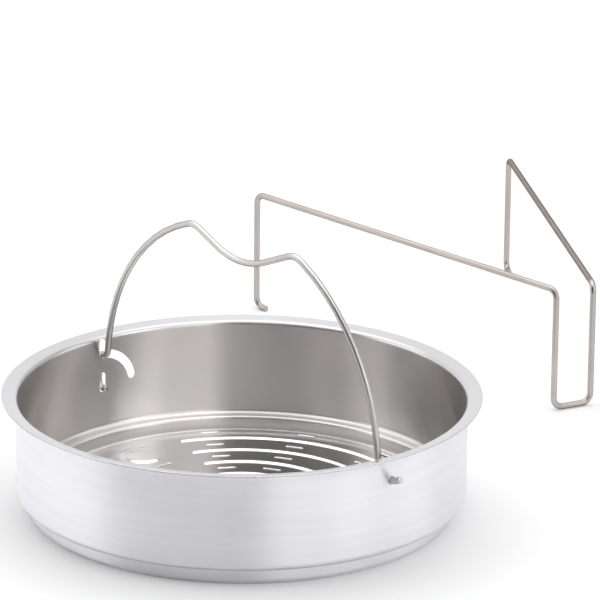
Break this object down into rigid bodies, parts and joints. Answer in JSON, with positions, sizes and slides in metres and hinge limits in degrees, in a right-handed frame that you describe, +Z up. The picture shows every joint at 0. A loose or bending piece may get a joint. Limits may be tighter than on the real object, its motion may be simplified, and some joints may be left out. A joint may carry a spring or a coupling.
{
  "type": "steamer insert with bail handle and tripod stand",
  "caption": "Round perforated steel steamer basket with a folding wire bail, and the bent-wire tripod stand that holds it above the water in a pressure cooker.",
  "frame": {"origin": "bottom centre of the whole set's bounding box, on the surface that basket and stand rest on", "axes": "+Z up, +Y from the basket towards the stand, +X to the right seen from the basket's side"},
  "size_m": [0.2682, 0.439, 0.1253],
  "materials": {
    "basket_steel": "satin brushed outside and inside, polished floor",
    "bail_wire": "drawn wire, semi-bright",
    "stand_wire": "drawn wire, semi-bright"
  },
  "bodies": {
    "basket": {"steamer_basket": "basket_steel"},
    "bail": {"bail_handle": "bail_wire"},
    "stand": {"tripod_stand": "stand_wire"}
  },
  "joints": [
    {"name": "bail_swing", "type": "hinge", "parent": "basket", "child": "bail", "pos_m": [-0.0924, -0.03927, 0.0279], "axis": [-0.6413, 0.7643, -0.067], "range_deg": [0, 77]},
    {"name": "stand_lift", "type": "slide", "parent": "basket", "child": "stand", "axis": [0, 0, 1], "range_m": [0, 0.15]}
  ]
}
